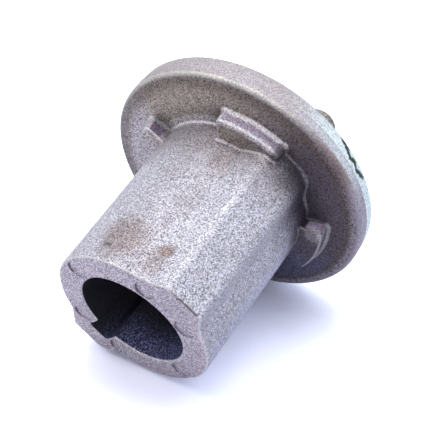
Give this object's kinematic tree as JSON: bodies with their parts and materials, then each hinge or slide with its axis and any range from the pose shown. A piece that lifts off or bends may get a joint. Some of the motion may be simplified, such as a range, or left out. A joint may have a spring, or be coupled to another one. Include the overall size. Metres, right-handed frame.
{
  "type": "mower blade adapter",
  "caption": "Cast sleeve with a keyed through bore, flat-topped side ribs and a round flange with lugs and pegs, for driving a rotary mower blade from a crankshaft.",
  "frame": {"origin": "on the bore axis, in the plane of the seat that the blade is clamped against", "axes": "+Z along the bore axis from the blade seat to the sleeve's end, as fitted under an engine; +Y towards the keyway"},
  "size_m": [0.058, 0.058, 0.0503],
  "materials": {
    "cast_alloy": "shot-blasted casting, matt with a fine sparkle, brown stains and a dark green paint streak on the rim"
  },
  "bodies": {
    "root": {"adapter_casting": "cast_alloy"}
  },
  "joints": []
}
